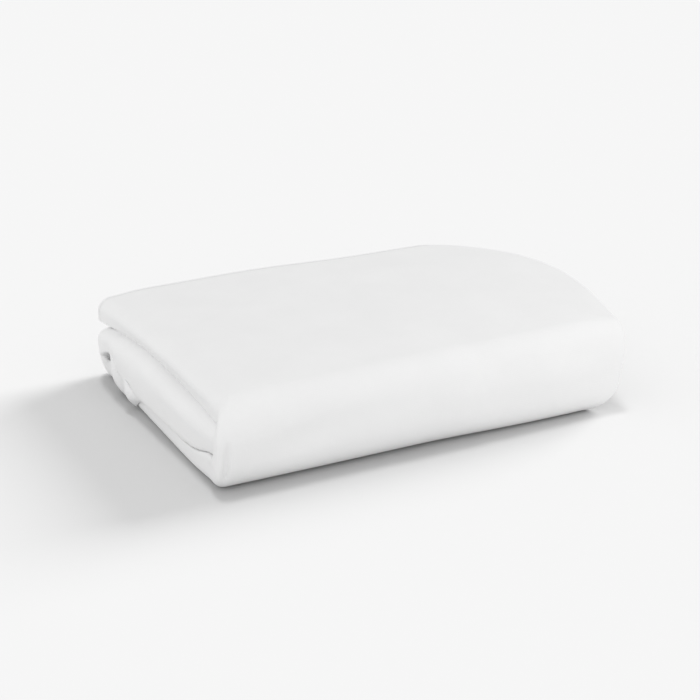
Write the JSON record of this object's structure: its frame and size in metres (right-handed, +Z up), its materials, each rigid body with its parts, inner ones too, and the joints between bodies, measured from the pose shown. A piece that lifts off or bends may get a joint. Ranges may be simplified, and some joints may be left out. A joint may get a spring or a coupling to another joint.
{
  "type": "folded crib mattress protector",
  "caption": "Soft white crib mattress protector folded lengthwise into plies and then into thirds, lying flat, with its skirt inside and a gathered hem at one end.",
  "frame": {"origin": "middle of the footprint, on the surface that the folded protector lies on", "axes": "+X along the bundle towards its bowed open end, +Y towards the free back edge of the upper third, +Z up out of the surface"},
  "size_m": [0.3702, 0.2493, 0.0682],
  "materials": {
    "panel_cloth": "soft matt white knit with a very fine surface",
    "skirt_jersey": "thin matt white jersey",
    "hem_binding": "narrow white elasticated hem, gathered"
  },
  "bodies": {
    "root": {"panel": "panel_cloth", "skirt": "skirt_jersey", "elastic_hem": "hem_binding"}
  },
  "joints": []
}
